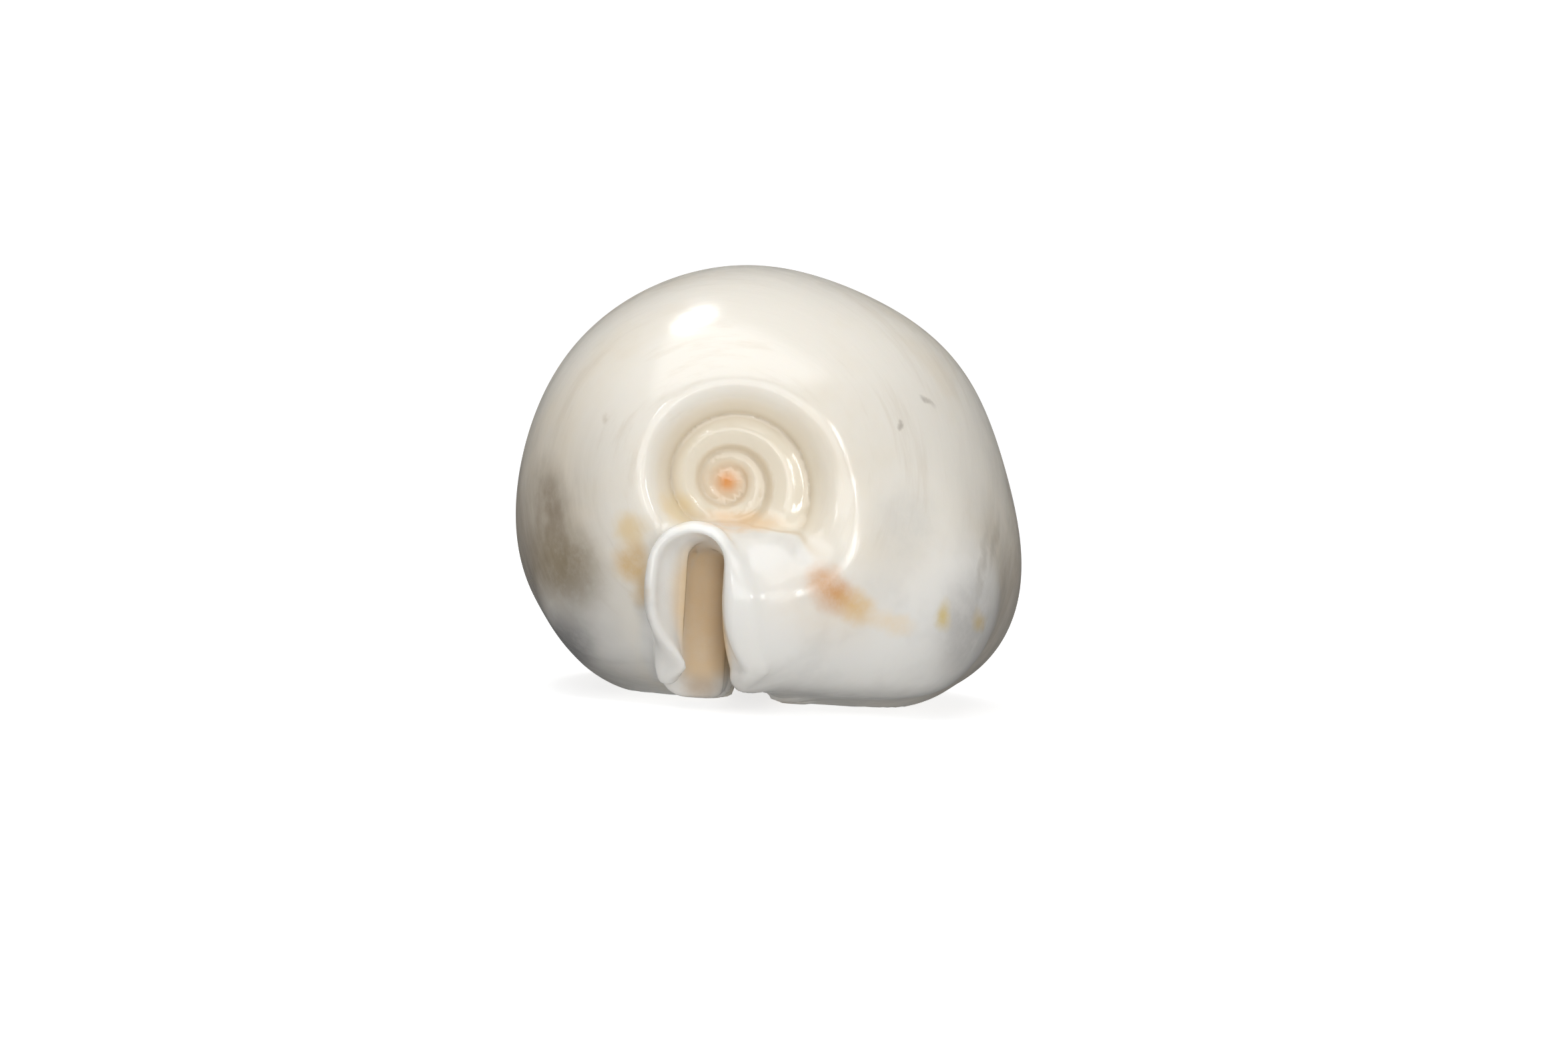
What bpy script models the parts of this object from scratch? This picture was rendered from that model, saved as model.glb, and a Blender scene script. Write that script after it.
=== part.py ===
"""A large pale cowrie shell, built as one hollow solid at its real size.

The shell is described as a solid field: a function of place that is negative inside the shell wall and
positive outside it, in millimetres. Each feature of the shell is one function of that field: the body whorl,
the sunken spire, the lips, the two canals, the aperture with its teeth and the body chamber. The surface
where the field is zero is then meshed, and the mesh is thinned with Blender's Decimate modifier.

X runs across the shell (+X is the outer lip's side), +Y towards the front (anterior) end, +Z up.
The shell rests on its two lips at Z = 0. Lengths in this script are millimetres; METRE converts them.
"""

import itertools
import math

import bpy
import numpy as np

METRE = 0.001

# Driving dimensions
TARGET_TRIANGLES = 9800
GRID_STEP = 0.9
REST_WITHIN = 0.00012
BOX = ((-34.0, 34.0), (-49.0, 50.0), (-2.0, 55.0))
# The middle of the shell's bounding box on the floor, as the field places it. It becomes the origin.
MIDDLE = (0.82, -0.04, 0.0)

# Body whorl: an egg whose cross-section is a closed curve through twelve radii, one every 30 degrees, counted
# from +X over the back of the shell. The section's centre runs from the apex to the front canal.
GIRTH_RADII = (29.3, 27.2, 25.8, 25.9, 26.8, 27.7, 28.6, 29.9, 27.5, 24.9, 28.2, 33.0)
WIDEST_Y = -3.0
BACK_LENGTH = 40.5
FRONT_LENGTH = 44.0
BACK_POWER = 2.35
FRONT_POWER = 1.85

# Spire: a log spiral that grows clockwise, seen from behind, sunk into the end of the body whorl.
APEX_X, APEX_Z = -4.5, 25.4
WHORL_GROWTH = 2.15
SUTURE_RADIUS = 7.6
SHOULDER_TURNS = 0.80
SHOULDER_POWER = 1.5
# The last suture ends this many turns before the top, inside the mouth of the back canal.
SEAM_TURNS = 0.444
SPIRE_DEPTH = 9.4
SPIRE_SLOPE = 0.50
WHORL_BULGE = 0.17
NUCLEUS_RADIUS = 1.3
NUCLEUS_HEIGHT = 1.3

# Aperture: its left and right edges and its roof at stations along the shell. At the back end its edges turn
# in towards the base by these amounts, so that the canal's mouth is an egg shape that is wide at the top.
SLOT_Y = (-48.0, -44.5, -42.0, -40.9, -39.9, -38.9, -38.0, -37.2, -36.2, -34.0, -27.0, -20.0, -8.0, 20.0, 34.0, 48.0)
SLOT_LEFT = (-11.8, -11.1, -9.0, -8.1, -8.7, -8.9, -7.6, -5.3, -3.9, -3.4, -3.0, -3.0, -2.9, -2.7, -3.0, -2.4)
SLOT_RIGHT = (-3.4, -4.1, -4.1, -4.1, -4.0, -3.6, -3.0, -1.9, -0.7, 0.6, 1.5, 2.0, 2.9, 3.1, 3.4, 2.2)
SLOT_ROOF = (19.9, 19.9, 19.3, 18.9, 18.5, 18.1, 17.8, 17.6, 17.4, 17.0, 15.5, 13.5, 13.0, 13.0, 13.5, 13.5)
MOUTH_TURN_Z, MOUTH_FOOT_Z, MOUTH_END_Y = 14.0, 5.0, -40.5
LEFT_TURN, RIGHT_TURN = 4.0, 3.0
LIP_ROUNDING = 2.2
RIM_ROUNDING = 0.8

# Rim of the back canal: a wall around the canal's mouth, thinnest at its crest.
RIM_WALL = 1.35
RIM_THICKENS = 0.2
RIM_Y = (-48.0, -44.5, -39.5, -34.0, -27.0)
RIM_LEFT = (-11.8, -11.1, -8.7, -7.6, -5.8)
RIM_RIGHT = (-3.4, -4.1, -4.0, -2.8, -0.6)
RIM_ROOF = (19.9, 19.9, 19.2, 18.0, 15.5)
RIM_CREST_Y = -45.6
RIM_CREST_Z = 13.5
RIM_ROOT_Y = -24.0

# Underside: its height above the floor at stations along the shell, and how far it is hollowed along the
# aperture, between the two strips on which the shell rests.
BASE_Y = (-48.0, -44.0, -41.0, -38.0, -30.0, -20.0, -12.0, 2.0, 14.0, 26.0, 36.0, 48.0)
BASE_Z = (5.4, 3.4, 2.0, 1.5, 1.2, 0.6, -0.7, -1.6, -1.3, 0.8, 2.8, 8.5)
HOLLOW = 2.6
HOLLOW_X = 2.0
HOLLOW_WIDTH = 7.0

# Teeth along both lips.
TOOTH_PITCH = 2.9
TOOTH_HEIGHT = 0.6
TOOTH_REACH = 6.0
TEETH_FROM_Y, TEETH_TO_Y = -27.0, 36.0

# Body chamber
WALL = 3.2
CHAMBER_FLOOR_Z = 9.0
CHAMBER_BACK_Y = -31.0


def smooth_step(value, low, high):
    share = np.clip((value - low) / (high - low), 0.0, 1.0)
    return share * share * (3.0 - 2.0 * share)


def joined(first, second, blend):
    """Union of two fields with a fillet about as wide as blend."""
    share = np.clip(0.5 + 0.5 * (second - first) / blend, 0.0, 1.0)
    return second + share * (first - second) - blend * share * (1.0 - share)


def cut(solid, cutter, blend):
    """Solid less cutter, with the edge rounded."""
    return -joined(-solid, cutter, blend)


def through(stations, values, place):
    """A smooth curve through values at stations, read at place."""
    stations = np.asarray(stations, float)
    values = np.asarray(values, float)
    slopes = np.gradient(values, stations)
    place = np.clip(place, stations[0], stations[-1])
    index = np.clip(np.searchsorted(stations, place) - 1, 0, len(stations) - 2)
    span = stations[index + 1] - stations[index]
    share = (place - stations[index]) / span
    square, cube = share**2, share**3
    return (
        (2 * cube - 3 * square + 1) * values[index]
        + (cube - 2 * square + share) * span * slopes[index]
        + (3 * square - 2 * cube) * values[index + 1]
        + (cube - square) * span * slopes[index + 1]
    )


def girth_radius(angle):
    """The body whorl's radius at an angle about its centre line: a Fourier curve through the twelve radii."""
    count = len(GIRTH_RADII)
    waves = np.fft.rfft(GIRTH_RADII) / count
    radius = np.full_like(angle, waves[0].real)
    for order in range(1, count // 2 + 1):
        weight = 1.0 if order == count // 2 else 2.0
        turned = order * angle
        radius += weight * (waves[order].real * np.cos(turned) - waves[order].imag * np.sin(turned))
    return radius


def body_whorl(x, y, z, inset=0.0, back=BACK_LENGTH):
    """The egg of the last whorl. inset makes it smaller all round, for the chamber."""
    along = y - WIDEST_Y
    length = np.where(along < 0.0, back, FRONT_LENGTH) - inset
    power = np.where(along < 0.0, BACK_POWER, FRONT_POWER)
    share = np.abs(along) / length
    centre_x = through((-1, 0, 1), (APEX_X, 0.0, -0.5), along / length)
    centre_z = through((-1, 0, 1), (APEX_Z, 24.0, 17.0), along / length)
    across, up = x - centre_x, z - centre_z
    radius = np.maximum(np.hypot(across, up), 1e-6)
    girth = girth_radius(np.arctan2(up, across)) - inset
    ratio = radius / girth
    level = np.sqrt(ratio**2 + share**power)
    safe = np.maximum(level, 1e-6)
    steep_across = ratio / (safe * girth)
    steep_along = power * share ** (power - 1.0) / (2.0 * safe * length)
    return (level - 1.0) / np.maximum(np.hypot(steep_across, steep_along), 0.012)


def spire_depth(x, z):
    """How far the end of the body whorl is sunk, with the coiled whorls standing in the hollow."""
    across, up = x - APEX_X, z - APEX_Z
    radius = np.maximum(np.hypot(across, up), 1e-3)
    turned = (0.25 - np.arctan2(up, across) / (2.0 * math.pi) + SEAM_TURNS) % 1.0 - SEAM_TURNS
    whorl = np.log(radius / SUTURE_RADIUS) / math.log(WHORL_GROWTH) - turned
    phase = whorl - np.floor(whorl)
    cone = SPIRE_DEPTH - SPIRE_SLOPE * radius
    terrace = smooth_step(phase, 0.0, 0.26) * (1.0 - smooth_step(phase, 0.55, 1.0))
    coiled = cone - WHORL_BULGE * radius * terrace * smooth_step(radius, 1.2, 2.6)
    suture = SUTURE_RADIUS * WHORL_GROWTH**turned
    shoulder = np.clip(whorl / SHOULDER_TURNS, 0.0, 1.0)
    wall = (SPIRE_DEPTH - SPIRE_SLOPE * suture) * (1.0 - np.sin(shoulder * math.pi / 2.0)) ** SHOULDER_POWER
    depth = np.where(whorl < 0.0, coiled, wall)
    nucleus = NUCLEUS_HEIGHT * np.exp(-((radius / NUCLEUS_RADIUS) ** 2))
    return depth - nucleus


def capsule(x, y, z, start, end, start_radius, end_radius):
    """A rounded rod between two points, whose radius changes evenly."""
    axis = np.subtract(end, start)
    offset = (x - start[0]) * axis[0] + (y - start[1]) * axis[1] + (z - start[2]) * axis[2]
    share = np.clip(offset / (axis @ axis), 0.0, 1.0)
    away = np.sqrt(
        (x - start[0] - share * axis[0]) ** 2
        + (y - start[1] - share * axis[1]) ** 2
        + (z - start[2] - share * axis[2]) ** 2
    )
    return away - (start_radius + share * (end_radius - start_radius))


def back_lips(x, y, z):
    """The thick ends of both lips beside the back canal: the outer lip's on the right, the inner on the left."""
    outer = capsule(x, y, z, (0.0, -37.0, 12.0), (15.5, -26.5, 12.0), 7.6, 9.5)
    outer = joined(outer, capsule(x, y, z, (0.5, -36.0, 12.0), (10.0, -11.0, 8.0), 7.6, 8.7), 6.0)
    inner = capsule(x, y, z, (-16.2, -28.0, 11.4), (-9.5, -12.0, 7.2), 6.0, 7.8)
    return outer, inner


def front_lips(x, y, z):
    """The beak at the front end: two lips with an arch over them."""
    outer = capsule(x, y, z, (8.5, 20.0, 8.0), (4.8, 43.5, 10.8), 7.0, 3.2)
    inner = capsule(x, y, z, (-8.5, 20.0, 8.0), (-4.8, 43.5, 10.8), 7.0, 3.2)
    arch = capsule(x, y, z, (0.0, 24.0, 18.0), (0.0, 42.5, 15.2), 8.5, 3.3)
    return joined(joined(outer, inner, 4.0), arch, 5.0)


def cleft_between(x, y, z, stations, left_edge, right_edge, top):
    """A cleft with a round roof, between two edges given at stations along the shell."""
    mouth = 1.0 - smooth_step(y, -44.5, MOUTH_END_Y)
    flare = 1.0 - 0.55 * smooth_step(y, -44.5, MOUTH_END_Y) - 0.45 * smooth_step(y, -38.5, -35.0)
    low = np.clip((MOUTH_TURN_Z - z) / (MOUTH_TURN_Z - MOUTH_FOOT_Z), 0.0, 1.0)
    left = through(stations, left_edge, y) + LEFT_TURN * mouth * low**2.6
    right = through(stations, right_edge, y) + RIGHT_TURN * flare * low**2.4
    half = (right - left) / 2.0
    roof = through(stations, top, y)
    return np.hypot(x - (left + right) / 2.0, np.maximum(z - (roof - half), 0.0)) - half


def slot(x, y, z):
    """The aperture, which runs the whole length of the base and up both ends."""
    return cleft_between(x, y, z, SLOT_Y, SLOT_LEFT, SLOT_RIGHT, SLOT_ROOF)


def canal_rim(x, y, z):
    """The wall that stands around the mouth of the back canal."""
    mouth = cleft_between(x, y, z, RIM_Y, RIM_LEFT, RIM_RIGHT, RIM_ROOF)
    drop = z - RIM_CREST_Z
    crest = RIM_CREST_Y + np.where(drop < 0.0, 0.034, 0.03) * drop**2
    thickens = RIM_THICKENS * (1.0 - 0.85 * smooth_step(z, 14.0, 19.0))
    wall = RIM_WALL + thickens * np.maximum(y - crest, 0.0)
    shape = cut(mouth - wall, y - crest, 1.4)
    return cut(shape, RIM_ROOT_Y - y, 4.0)


def lip_rounding(y, z):
    """How round the aperture's edges are: sharp around the canal's mouth, and rounder inside it and at its foot."""
    foot = (1.0 - smooth_step(z, 2.5, 6.0)) * smooth_step(y, -44.0, -41.0) * (1.0 - smooth_step(y, -38.0, -34.0))
    return RIM_ROUNDING + (LIP_ROUNDING - RIM_ROUNDING) * smooth_step(y, -40.0, -28.0) + 1.6 * foot


def underside(x, y):
    """The height of the base above the floor; below zero where the shell is worn flat on the floor."""
    hollow = HOLLOW * np.exp(-(((x - HOLLOW_X) / HOLLOW_WIDTH) ** 2)) * smooth_step(y, -14.0, 2.0)
    return through(BASE_Y, BASE_Z, y) + hollow


def teeth(y, z, cleft):
    """How far the teeth stand out of the lips at a place."""
    ridge = 0.5 + 0.5 * np.cos(2.0 * math.pi * y / TOOTH_PITCH)
    near = smooth_step(-np.abs(cleft), -TOOTH_REACH, -2.0)
    low = smooth_step(-z, -9.0, -5.0)
    between = smooth_step(y, TEETH_FROM_Y - 3.0, TEETH_FROM_Y + 3.0)
    between *= smooth_step(-y, -TEETH_TO_Y - 3.0, -TEETH_TO_Y + 3.0)
    return TOOTH_HEIGHT * ridge * near * low * between


def chamber(x, y, z):
    """The hollow of the last whorl. Its back wall leans forward on the left, round the earlier whorls."""
    egg = body_whorl(x, y, z, WALL, BACK_LENGTH - 6.0)
    back = CHAMBER_BACK_Y + 0.6 * np.maximum(4.0 - x, 0.0) - y
    within = cut(egg, -back, 5.0)
    return cut(within, z - CHAMBER_FLOOR_Z, 4.0)


def shell(x, y, z):
    """The whole shell's field: negative in the shell's wall."""
    fade = 1.0 - smooth_step(y, -24.0, -12.0)
    solid = body_whorl(x, y - spire_depth(x, z) * fade, z)
    outer_lip, inner_lip = back_lips(x, y, z)
    by_spire = smooth_step(z, 13.0, 20.0) * (1.0 - smooth_step(x, 2.0, 12.0))
    solid = joined(solid, outer_lip, 9.0 - 6.0 * by_spire)
    solid = joined(solid, inner_lip, 8.0)
    solid = joined(solid, front_lips(x, y, z), 7.0)
    cleft = slot(x, y, z)
    solid = joined(solid, canal_rim(x, y, z), 2.0 + 3.0 * smooth_step(x, -9.0, -4.0) * (1.0 - by_spire))
    solid = cut(solid, z - underside(x, y), 3.0)
    solid = cut(solid, chamber(x, y, z), 1.0)
    solid = cut(solid, cleft, lip_rounding(y, z))
    solid = solid - teeth(y, z, cleft)
    return np.maximum(solid, -z)


def inside_corners(pattern):
    return [corner for corner in range(4) if pattern >> corner & 1]


def inside_order(pattern):
    """The corners of a tetrahedron with those inside the solid first, in an order that keeps its handedness."""
    order = inside_corners(pattern) + inside_corners(15 - pattern)
    swaps = sum(order[i] > order[j] for i in range(4) for j in range(i + 1, 4))
    if swaps % 2:
        # Two corners on the same side of the surface are exchanged.
        pair = slice(0, 2) if order[1] in inside_corners(pattern) else slice(2, 4)
        order[pair] = order[pair][::-1]
    return order


def zero_surface(values, axes):
    """Triangles on the zero surface of a gridded field, found in the six tetrahedra of each cell it crosses."""
    inside = values < 0.0
    shape = np.array(values.shape)
    stride = np.array([shape[1] * shape[2], shape[2], 1])
    total = np.zeros(shape - 1, np.int8)
    for i, j, k in itertools.product((0, 1), repeat=3):
        total += inside[i : i + shape[0] - 1, j : j + shape[1] - 1, k : k + shape[2] - 1]
    first = np.argwhere((total > 0) & (total < 8)) @ stride
    flat, flat_inside = values.ravel(), inside.ravel()
    ends = []
    for path in itertools.permutations(range(3)):
        corners = first[:, None] + np.cumsum([0] + [stride[axis] for axis in path])
        even = np.linalg.det(np.eye(3)[list(path)]) > 0.0
        pattern = flat_inside[corners] @ np.array([1, 2, 4, 8])
        for value in range(1, 15):
            a, b, c, d = inside_order(value)
            count = bin(value).count("1")
            if count == 1:
                faces = [((a, b), (a, c), (a, d))]
            elif count == 3:
                faces = [((a, d), (b, d), (c, d))]
            else:
                faces = [((a, c), (a, d), (b, d)), ((a, c), (b, d), (b, c))]
            found = corners[pattern == value]
            for face in faces:
                face = face if even else face[::-1]
                ends.append(np.stack([found[:, pair] for pair in face], axis=1))
    ends = np.sort(np.concatenate(ends), axis=2)
    pairs, index = np.unique(ends.reshape(-1, 2), axis=0, return_inverse=True)
    share = flat[pairs[:, 0]] / (flat[pairs[:, 0]] - flat[pairs[:, 1]])
    share = np.clip(share, 0.03, 0.97)[:, None]
    place = [np.stack(np.unravel_index(pairs[:, end], shape), axis=1) for end in (0, 1)]
    place = place[0] * (1.0 - share) + place[1] * share
    low = np.array([a[0] for a in axes])
    step = np.array([a[1] - a[0] for a in axes])
    return low + place * step, index.reshape(-1, 3)


def settled(points, field, rounds=3, reach=0.02):
    """The points moved along the field's slope until they lie on its zero surface."""
    for _ in range(rounds):
        x, y, z = points.T
        value = field(x, y, z)
        slope = np.stack(
            [
                field(x + reach, y, z) - field(x - reach, y, z),
                field(x, y + reach, z) - field(x, y - reach, z),
                field(x, y, z + reach) - field(x, y, z - reach),
            ],
            axis=1,
        ) / (2.0 * reach)
        length = np.maximum((slope**2).sum(axis=1), 0.1)
        move = -(value / length)[:, None] * slope
        size = np.maximum(np.linalg.norm(move, axis=1), 1e-9)
        points = points + move * np.minimum(1.0, 0.4 / size)[:, None]
    return points


def meshed(name, field, step):
    """A Blender object on the zero surface of a field."""
    axes = [np.arange(low, high + step, step) for low, high in BOX]
    x, y, z = np.meshgrid(*axes, indexing="ij")
    points, triangles = zero_surface(field(x, y, z), axes)
    points = settled(points, field) - MIDDLE
    mesh = bpy.data.meshes.new(name)
    mesh.from_pydata((points * METRE).tolist(), [], triangles.tolist())
    mesh.validate()
    mesh.shade_smooth()
    made = bpy.data.objects.new(name, mesh)
    bpy.context.scene.collection.objects.link(made)
    return made


def enamel():
    """Cream porcelain-like shell."""
    material = bpy.data.materials.new("shell_enamel")
    material.use_nodes = True
    surface = material.node_tree.nodes["Principled BSDF"]
    surface.inputs["Base Color"].default_value = (0.84, 0.80, 0.72, 1.0)
    surface.inputs["Roughness"].default_value = 0.2
    surface.inputs["Metallic"].default_value = 0.0
    return material


def thinned(shape, count):
    """The object's mesh brought down to about this many triangles by a Decimate modifier."""
    fewer = shape.modifiers.new("fewer_triangles", "DECIMATE")
    fewer.ratio = min(1.0, count / len(shape.data.polygons))
    graph = bpy.context.evaluated_depsgraph_get()
    mesh = bpy.data.meshes.new_from_object(shape.evaluated_get(graph))
    shape.modifiers.clear()
    shape.data = mesh


def rested(mesh):
    """The worn strips of both lips made flat on the floor."""
    for vertex in mesh.vertices:
        if vertex.co.z < REST_WITHIN:
            vertex.co.z = 0.0


def main():
    for old in list(bpy.data.objects):
        bpy.data.objects.remove(old)
    cowrie = meshed("cowrie_shell", shell, GRID_STEP)
    thinned(cowrie, TARGET_TRIANGLES)
    rested(cowrie.data)
    cowrie.data.name = "cowrie_shell"
    cowrie.data.materials.append(enamel())


if __name__ == "__main__":
    main()
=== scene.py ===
"""A large pale cowrie shell on a pale studio floor, seen from its back end.

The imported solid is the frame. The shell shown here is meshed finer from the same shape: a solid field in
millimetres, negative inside the shell's wall. X runs across the shell, +Y towards its front end, +Z up.
"""

import math

import bpy
import numpy as np
from bpy.props import FloatProperty, FloatVectorProperty, PointerProperty
from mathutils import Matrix, Quaternion, Vector


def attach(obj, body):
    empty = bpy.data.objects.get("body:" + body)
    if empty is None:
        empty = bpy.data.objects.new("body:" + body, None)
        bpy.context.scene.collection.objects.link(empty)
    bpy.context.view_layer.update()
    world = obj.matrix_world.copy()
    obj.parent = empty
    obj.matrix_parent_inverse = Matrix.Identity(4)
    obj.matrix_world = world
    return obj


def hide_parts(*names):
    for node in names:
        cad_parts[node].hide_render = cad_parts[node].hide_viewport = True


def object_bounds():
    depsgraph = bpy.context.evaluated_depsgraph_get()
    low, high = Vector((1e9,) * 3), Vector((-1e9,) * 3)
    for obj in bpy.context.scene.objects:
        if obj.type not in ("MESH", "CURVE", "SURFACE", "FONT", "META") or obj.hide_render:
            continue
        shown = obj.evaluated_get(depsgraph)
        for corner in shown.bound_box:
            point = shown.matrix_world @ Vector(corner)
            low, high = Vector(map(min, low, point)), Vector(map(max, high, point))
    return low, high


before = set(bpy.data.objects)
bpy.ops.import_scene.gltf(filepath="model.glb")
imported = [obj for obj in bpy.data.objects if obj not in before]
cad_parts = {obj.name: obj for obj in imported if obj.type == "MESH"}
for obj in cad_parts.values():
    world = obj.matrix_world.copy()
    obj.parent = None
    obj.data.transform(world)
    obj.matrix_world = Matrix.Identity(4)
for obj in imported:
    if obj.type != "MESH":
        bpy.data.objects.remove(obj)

bl_info = {
    "name": "Cowrie shell",
    "version": (1, 0, 0),
    "blender": (4, 5, 0),
    "location": "3D View > Sidebar > Cowrie",
    "description": "A large pale cowrie shell with its sunken spire, lips and aperture, and a plain studio",
    "category": "Add Mesh",
}

METRE = 0.001
# The middle of the shell's bounding box on the floor, as the field places it.
MIDDLE = (0.82, -0.04, 0.0)
CAD_BOX = [list(corner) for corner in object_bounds()]

# Body whorl
GIRTH_RADII = (29.3, 27.2, 25.8, 25.9, 26.8, 27.7, 28.6, 29.9, 27.5, 24.9, 28.2, 33.0)
WIDEST_Y = -3.0
BACK_LENGTH = 40.5
FRONT_LENGTH = 44.0
BACK_POWER = 2.35
FRONT_POWER = 1.85

# Spire
APEX_X, APEX_Z = -4.5, 25.4
WHORL_GROWTH = 2.15
SUTURE_RADIUS = 7.6
SHOULDER_TURNS = 0.80
SHOULDER_POWER = 1.5
SEAM_TURNS = 0.444
SPIRE_SLOPE = 0.50
WHORL_BULGE = 0.17
NUCLEUS_RADIUS = 1.3
NUCLEUS_HEIGHT = 1.3

# Aperture: its edges and its roof at stations along the shell
SLOT_Y = (
    -48.0, -44.5, -42.0, -40.9, -39.9, -38.9, -38.0, -37.2,
    -36.2, -34.0, -27.0, -20.0, -8.0, 20.0, 34.0, 48.0,
)
SLOT_LEFT = (
    -11.8, -11.1, -9.0, -8.1, -8.7, -8.9, -7.6, -5.3,
    -3.9, -3.4, -3.0, -3.0, -2.9, -2.7, -3.0, -2.4,
)
SLOT_RIGHT = (
    -3.4, -4.1, -4.1, -4.1, -4.0, -3.6, -3.0, -1.9,
    -0.7, 0.6, 1.5, 2.0, 2.9, 3.1, 3.4, 2.2,
)
SLOT_ROOF = (
    19.9, 19.9, 19.3, 18.9, 18.5, 18.1, 17.8, 17.6,
    17.4, 17.0, 15.5, 13.5, 13.0, 13.0, 13.5, 13.5,
)
MOUTH_TURN_Z, MOUTH_FOOT_Z, MOUTH_END_Y = 14.0, 5.0, -40.5
LEFT_TURN, RIGHT_TURN = 4.0, 3.0
LIP_ROUNDING = 2.2
RIM_ROUNDING = 0.8

# Rim of the back canal
RIM_THICKENS = 0.2
RIM_Y = (-48.0, -44.5, -39.5, -34.0, -27.0)
RIM_LEFT = (-11.8, -11.1, -8.7, -7.6, -5.8)
RIM_RIGHT = (-3.4, -4.1, -4.0, -2.8, -0.6)
RIM_ROOF = (19.9, 19.9, 19.2, 18.0, 15.5)
RIM_CREST_Y = -45.6
RIM_CREST_Z = 13.5
RIM_ROOT_Y = -24.0

# Underside
BASE_Y = (-48.0, -44.0, -41.0, -38.0, -30.0, -20.0, -12.0, 2.0, 14.0, 26.0, 36.0, 48.0)
BASE_Z = (5.4, 3.4, 2.0, 1.5, 1.2, 0.6, -0.7, -1.6, -1.3, 0.8, 2.8, 8.5)
HOLLOW = 2.6
HOLLOW_X = 2.0
HOLLOW_WIDTH = 7.0

# Teeth
TOOTH_PITCH = 2.9
TOOTH_REACH = 6.0
TEETH_FROM_Y, TEETH_TO_Y = -27.0, 36.0

# Body chamber
WALL = 3.2
CHAMBER_FLOOR_Z = 9.0
CHAMBER_BACK_Y = -31.0

# Mesh grid along each axis: where it starts and ends, and the stretch where it is fine
GRID = ((-34.0, 34.0, -18.0, 11.0), (-49.0, 50.0, -49.0, -33.0), (-2.0, 55.0, 2.0, 40.0))
FINE_FADES_OVER = 5.0
CELL_CORNERS = [(i, j, k) for i in (0, 1) for j in (0, 1) for k in (0, 1)]

# Enamel: how fine each noise is, how far the stains' edges wander, and the height of the relief
CLOUD_SCALE = 55.0
MOTTLE_SCALE = 120.0
WANDER_SCALE = 330.0
GRAIN_SCALE = 420.0
LINE_SCALE = 620.0
WANDER_REACH = 0.002
LINE_FACING = 0.0025
LINE_STRETCH = 0.15
RELIEF = 0.00006
ENAMEL_IOR = 1.53

# Camera, and where the shell stands in the photograph's frame of 2350 x 1568 pixels
FRAME_WIDTH, FRAME_HEIGHT = 2350, 1568
SHELL_MIDDLE_AT = (1162.2, 715.9)
PIXELS_PER_MM = 12.58
CAMERA_HEIGHT_DEGREES = 1.0
CAMERA_ROLL_DEGREES = 3.8
AIM_Z = 25.6
SENSOR_WIDTH = 36.0

# Studio, in metres. Each softbox has its direction from the shell's middle, size, lean in degrees and power.
LIGHT_DISTANCE = 1.3
SOFTBOXES = (
    ("key_softbox", (-0.27, 0.39, 0.88), (0.30, 0.20), 0.0, "key_power"),
    ("overhead_light", (-0.10, -0.22, 0.97), (1.6, 1.3), 0.0, "over_power"),
    ("left_strip", (-0.42, -0.76, 0.50), (0.06, 0.22), 34.0, "left_power"),
    ("right_strip", (0.60, -0.72, 0.36), (0.12, 0.28), 0.0, "right_power"),
    ("camera_light", (0.02, -0.97, 0.22), (0.05, 0.08), 0.0, "camera_power"),
    ("front_light", (0.04, -0.94, 0.32), (1.3, 0.7), 0.0, "front_power"),
)
SWEEP_NEAR_Y, SWEEP_BEND_Y = -1.6, 0.9
SWEEP_RADIUS = 0.5
SWEEP_TOP_Z = 2.4
SWEEP_HALF_WIDTH = 2.2
SWEEP_STEPS = 12
BACKDROP_WHITE = 0.95


class CowrieSizes(bpy.types.PropertyGroup):
    """Sizes of the shell's fine forms."""

    fine_step: FloatProperty(
        name="Fine step",
        description="Mesh size on the spire and the rim",
        default=0.0005,
        unit="LENGTH",
    )
    wide_step: FloatProperty(
        name="Wide step",
        description="Mesh size on the rest of the shell",
        default=0.00105,
        unit="LENGTH",
    )
    spire_depth: FloatProperty(
        name="Spire depth",
        description="Depth of the sunken spire",
        default=0.0094,
        unit="LENGTH",
    )
    rim_wall: FloatProperty(
        name="Rim wall",
        description="Thickness of the back canal's rim at its crest",
        default=0.00135,
        unit="LENGTH",
    )
    tooth_height: FloatProperty(
        name="Tooth height",
        description="How far the teeth stand out of the lips",
        default=0.0006,
        unit="LENGTH",
    )


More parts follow.
